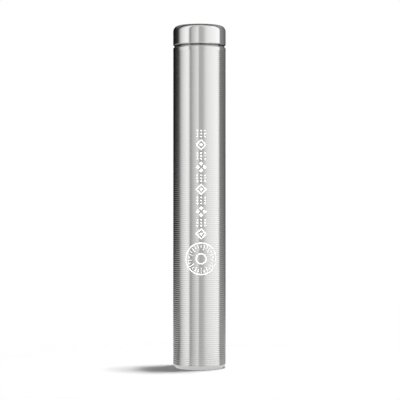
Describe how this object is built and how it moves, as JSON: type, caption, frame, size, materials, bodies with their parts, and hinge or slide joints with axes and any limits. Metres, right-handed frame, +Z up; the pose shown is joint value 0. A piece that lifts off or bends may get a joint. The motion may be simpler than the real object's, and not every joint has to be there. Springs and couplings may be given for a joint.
{
  "type": "screw-cap cryptex capsule",
  "caption": "Slim round steel capsule with a screw cap that hides a core of turning letter rings, clamped on a flatted spindle and hung in a sealed bore.",
  "frame": {"origin": "centre of the casing's flat foot, which it stands on", "axes": "+Z up the capsule's axis, the etched marks on the -Y side"},
  "size_m": [0.018, 0.018, 0.117],
  "materials": {
    "casing_steel": "fine turned stainless steel with rows of narrow grooves",
    "cap_steel": "smooth turned stainless steel",
    "core_steel": "turned stainless steel",
    "washer_steel": "rolled stainless sheet",
    "spring_steel": "spring steel strip",
    "ring_steel": "turned stainless steel with dark engraved letters",
    "silicone": "black silicone rubber"
  },
  "bodies": {
    "casing": {"casing": "casing_steel"},
    "core": {"spindle": "core_steel", "pull_head": "core_steel", "head_pin": "core_steel", "thrust_washer": "washer_steel", "spacer_washers": "washer_steel"},
    "cap_link": {"cap_gasket": "silicone", "cap_o_ring": "silicone"},
    "cap": {"cap": "cap_steel"},
    "nut_link": {"bow_washer": "spring_steel", "clamp_washer": "washer_steel"},
    "nut": {"lock_nut": "core_steel"},
    "ring_01": {"letter_ring_01": "ring_steel"},
    "ring_02": {"letter_ring_02": "ring_steel"},
    "ring_03": {"letter_ring_03": "ring_steel"},
    "ring_04": {"letter_ring_04": "ring_steel"},
    "ring_05": {"letter_ring_05": "ring_steel"},
    "ring_06": {"letter_ring_06": "ring_steel"},
    "ring_07": {"letter_ring_07": "ring_steel"},
    "ring_08": {"letter_ring_08": "ring_steel"},
    "ring_09": {"letter_ring_09": "ring_steel"},
    "ring_10": {"letter_ring_10": "ring_steel"},
    "ring_11": {"letter_ring_11": "ring_steel"},
    "ring_12": {"letter_ring_12": "ring_steel"},
    "ring_13": {"letter_ring_13": "ring_steel"},
    "ring_14": {"letter_ring_14": "ring_steel"},
    "ring_15": {"letter_ring_15": "ring_steel"},
    "ring_16": {"letter_ring_16": "ring_steel"},
    "ring_17": {"letter_ring_17": "ring_steel"},
    "ring_18": {"letter_ring_18": "ring_steel"},
    "ring_19": {"letter_ring_19": "ring_steel"},
    "ring_20": {"letter_ring_20": "ring_steel"},
    "ring_21": {"letter_ring_21": "ring_steel"},
    "ring_22": {"letter_ring_22": "ring_steel"},
    "ring_23": {"letter_ring_23": "ring_steel"},
    "ring_24": {"letter_ring_24": "ring_steel"}
  },
  "joints": [
    {"name": "core_draw", "type": "slide", "parent": "casing", "child": "core", "axis": [0, 0, 1], "range_m": [0, 0.105]},
    {"name": "cap_rise", "type": "slide", "parent": "core", "child": "cap_link", "axis": [0, 0, 1], "range_m": [0, 0.00751]},
    {"name": "cap_turn", "type": "hinge", "parent": "cap_link", "child": "cap", "pos_m": [0, 0, 0.11], "axis": [0, 0, 1], "range_deg": [0, 2700]},
    {"name": "nut_travel", "type": "slide", "parent": "core", "child": "nut_link", "axis": [0, 0, -1], "range_m": [0, 0.00401]},
    {"name": "nut_turn", "type": "hinge", "parent": "nut_link", "child": "nut", "pos_m": [0, 0, 0.01], "axis": [0, 0, -1], "range_deg": [0, 1800]},
    {"name": "ring_01_turn", "type": "hinge", "parent": "core", "child": "ring_01", "pos_m": [0, 0, 0.0987], "axis": [0, 0, 1], "continuous": true},
    {"name": "ring_02_turn", "type": "hinge", "parent": "core", "child": "ring_02", "pos_m": [0, 0, 0.0951], "axis": [0, 0, 1], "continuous": true},
    {"name": "ring_03_turn", "type": "hinge", "parent": "core", "child": "ring_03", "pos_m": [0, 0, 0.0915], "axis": [0, 0, 1], "continuous": true},
    {"name": "ring_04_turn", "type": "hinge", "parent": "core", "child": "ring_04", "pos_m": [0, 0, 0.0879], "axis": [0, 0, 1], "continuous": true},
    {"name": "ring_05_turn", "type": "hinge", "parent": "core", "child": "ring_05", "pos_m": [0, 0, 0.0843], "axis": [0, 0, 1], "continuous": true},
    {"name": "ring_06_turn", "type": "hinge", "parent": "core", "child": "ring_06", "pos_m": [0, 0, 0.0807], "axis": [0, 0, 1], "continuous": true},
    {"name": "ring_07_turn", "type": "hinge", "parent": "core", "child": "ring_07", "pos_m": [0, 0, 0.0771], "axis": [0, 0, 1], "continuous": true},
    {"name": "ring_08_turn", "type": "hinge", "parent": "core", "child": "ring_08", "pos_m": [0, 0, 0.0735], "axis": [0, 0, 1], "continuous": true},
    {"name": "ring_09_turn", "type": "hinge", "parent": "core", "child": "ring_09", "pos_m": [0, 0, 0.0699], "axis": [0, 0, 1], "continuous": true},
    {"name": "ring_10_turn", "type": "hinge", "parent": "core", "child": "ring_10", "pos_m": [0, 0, 0.0663], "axis": [0, 0, 1], "continuous": true},
    {"name": "ring_11_turn", "type": "hinge", "parent": "core", "child": "ring_11", "pos_m": [0, 0, 0.0627], "axis": [0, 0, 1], "continuous": true},
    {"name": "ring_12_turn", "type": "hinge", "parent": "core", "child": "ring_12", "pos_m": [0, 0, 0.0591], "axis": [0, 0, 1], "continuous": true},
    {"name": "ring_13_turn", "type": "hinge", "parent": "core", "child": "ring_13", "pos_m": [0, 0, 0.0555], "axis": [0, 0, 1], "continuous": true},
    {"name": "ring_14_turn", "type": "hinge", "parent": "core", "child": "ring_14", "pos_m": [0, 0, 0.0519], "axis": [0, 0, 1], "continuous": true},
    {"name": "ring_15_turn", "type": "hinge", "parent": "core", "child": "ring_15", "pos_m": [0, 0, 0.0483], "axis": [0, 0, 1], "continuous": true},
    {"name": "ring_16_turn", "type": "hinge", "parent": "core", "child": "ring_16", "pos_m": [0, 0, 0.0447], "axis": [0, 0, 1], "continuous": true},
    {"name": "ring_17_turn", "type": "hinge", "parent": "core", "child": "ring_17", "pos_m": [0, 0, 0.0411], "axis": [0, 0, 1], "continuous": true},
    {"name": "ring_18_turn", "type": "hinge", "parent": "core", "child": "ring_18", "pos_m": [0, 0, 0.0375], "axis": [0, 0, 1], "continuous": true},
    {"name": "ring_19_turn", "type": "hinge", "parent": "core", "child": "ring_19", "pos_m": [0, 0, 0.0339], "axis": [0, 0, 1], "continuous": true},
    {"name": "ring_20_turn", "type": "hinge", "parent": "core", "child": "ring_20", "pos_m": [0, 0, 0.0303], "axis": [0, 0, 1], "continuous": true},
    {"name": "ring_21_turn", "type": "hinge", "parent": "core", "child": "ring_21", "pos_m": [0, 0, 0.0267], "axis": [0, 0, 1], "continuous": true},
    {"name": "ring_22_turn", "type": "hinge", "parent": "core", "child": "ring_22", "pos_m": [0, 0, 0.0231], "axis": [0, 0, 1], "continuous": true},
    {"name": "ring_23_turn", "type": "hinge", "parent": "core", "child": "ring_23", "pos_m": [0, 0, 0.0195], "axis": [0, 0, 1], "continuous": true},
    {"name": "ring_24_turn", "type": "hinge", "parent": "core", "child": "ring_24", "pos_m": [0, 0, 0.0159], "axis": [0, 0, 1], "continuous": true}
  ],
  "couplings": [
    {"joint": "cap_rise", "follows": "cap_turn", "m_per_rad": 0.00015915},
    {"joint": "nut_travel", "follows": "nut_turn", "m_per_rad": 0.00012732}
  ]
}
